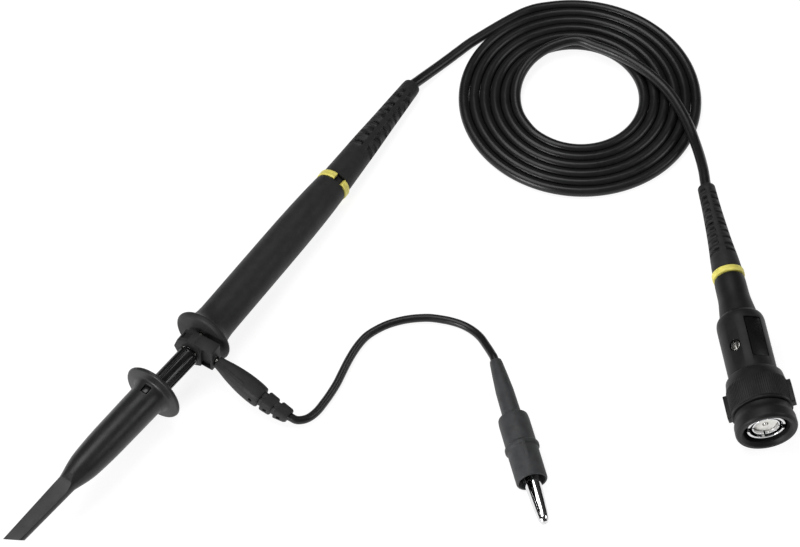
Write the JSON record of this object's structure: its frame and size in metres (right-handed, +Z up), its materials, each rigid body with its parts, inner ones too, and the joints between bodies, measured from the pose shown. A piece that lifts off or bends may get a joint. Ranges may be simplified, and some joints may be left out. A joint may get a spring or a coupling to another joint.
{
  "type": "oscilloscope probe",
  "caption": "Handheld oscilloscope probe with finger guard, spring hook tip, swivelling ground lead and clip, coiled cable and bayonet plug with trimmer box.",
  "frame": {"origin": "bottom centre of the probe head's box, without its cords, on the surface it lies on", "axes": "+X along the probe from the hook tip towards the cable, +Z up"},
  "size_m": [0.2718, 0.1732, 0.0202],
  "materials": {
    "handle_plastic": "fine matte moulded",
    "hook_plastic": "satin moulded",
    "gloss_black": "glossy moulded",
    "boot_rubber": "matte moulded rubber",
    "cable_jacket": "smooth satin jacket",
    "clip_rubber": "matte moulded rubber",
    "marker_yellow": "satin",
    "box_plastic": "satin moulded",
    "panel_foil": "smooth foil",
    "chrome": "polished",
    "nickel": "plated",
    "brass": "plain",
    "insulator_white": "smooth",
    "circuit_board": "lacquered",
    "resistor_body": "lacquered",
    "ceramic": "fired"
  },
  "bodies": {
    "root": {"handle_shell": "handle_plastic", "nose_barrel": "gloss_black", "ground_sleeve": "nickel", "tip_needle": "nickel", "attenuator_resistor": "resistor_body", "attenuator_capacitor": "ceramic", "head_board": "circuit_board", "shield_tube": "brass", "tail_bush": "handle_plastic", "cable_ferrule": "nickel", "marker_ring_probe": "marker_yellow", "boot_probe": "boot_rubber", "lead_wire": "cable_jacket", "clip_tail_sleeve": "clip_rubber", "clip_boot": "clip_rubber", "clip_fixed_jaw": "chrome", "clip_crimp": "chrome", "clip_pivot_pin": "nickel", "clip_spring": "nickel", "cable_start": "cable_jacket", "cable_coil": "cable_jacket", "cable_end": "cable_jacket", "boot_plug": "boot_rubber", "marker_ring_plug": "marker_yellow", "flared_neck": "box_plastic", "compensation_box": "box_plastic", "plain_panel": "panel_foil", "box_board": "circuit_board", "box_resistor": "resistor_body", "trimmer_body": "ceramic", "plug_body": "nickel", "contact_sleeve": "chrome", "plug_insulator": "insulator_white", "centre_pin": "nickel", "plug_gasket": "boot_rubber", "wave_washer": "nickel"},
    "hook_tip": {"hook_carrier": "gloss_black", "needle_contact": "brass", "hook_wire": "nickel", "hook_spring": "nickel"},
    "hook_sleeve": {"hook_sleeve": "hook_plastic", "sleeve_latch": "gloss_black"},
    "ground_collar": {"ground_collar": "handle_plastic", "collar_contact": "nickel", "plug_pin": "nickel", "plug_boot": "boot_rubber"},
    "clip_jaw": {"clip_moving_jaw": "chrome"},
    "trimmer": {"trimmer_screw": "nickel"},
    "bayonet": {"bayonet_nut": "chrome", "knurled_grip": "box_plastic", "front_skirt": "box_plastic"}
  },
  "joints": [
    {"name": "hook_tip_pull", "type": "slide", "parent": "root", "child": "hook_tip", "axis": [-0.9973, 0.0488, 0.054], "range_m": [0, 0.02]},
    {"name": "hook_sleeve_slide", "type": "slide", "parent": "hook_tip", "child": "hook_sleeve", "axis": [0.9973, -0.0488, -0.054], "range_m": [0, 0.0095], "stiffness_N_per_m": 200, "springref_m": -0.006, "deforming": ["hook_spring"]},
    {"name": "ground_collar_swivel", "type": "hinge", "parent": "root", "child": "ground_collar", "pos_m": [-0.01882, -0.00033, 0.00957], "axis": [-0.9985, 0, 0.0541], "range_deg": [0, 35]},
    {"name": "clip_jaw_hinge", "type": "hinge", "parent": "root", "child": "clip_jaw", "pos_m": [0.00349, -0.10158, 0.00515], "axis": [0.3597, -0.3473, -0.866], "range_deg": [0, 9], "stiffness_Nm_per_rad": 0.02, "springref_deg": -17.19},
    {"name": "trimmer_turn", "type": "hinge", "parent": "root", "child": "trimmer", "pos_m": [0.06538, -0.13612, 0.01403], "axis": [-0.4023, 0.4661, 0.788], "continuous": true},
    {"name": "bayonet_turn", "type": "hinge", "parent": "root", "child": "bayonet", "pos_m": [0.05394, -0.15087, 0.0093], "axis": [-0.757, -0.6534, 0], "continuous": true}
  ]
}
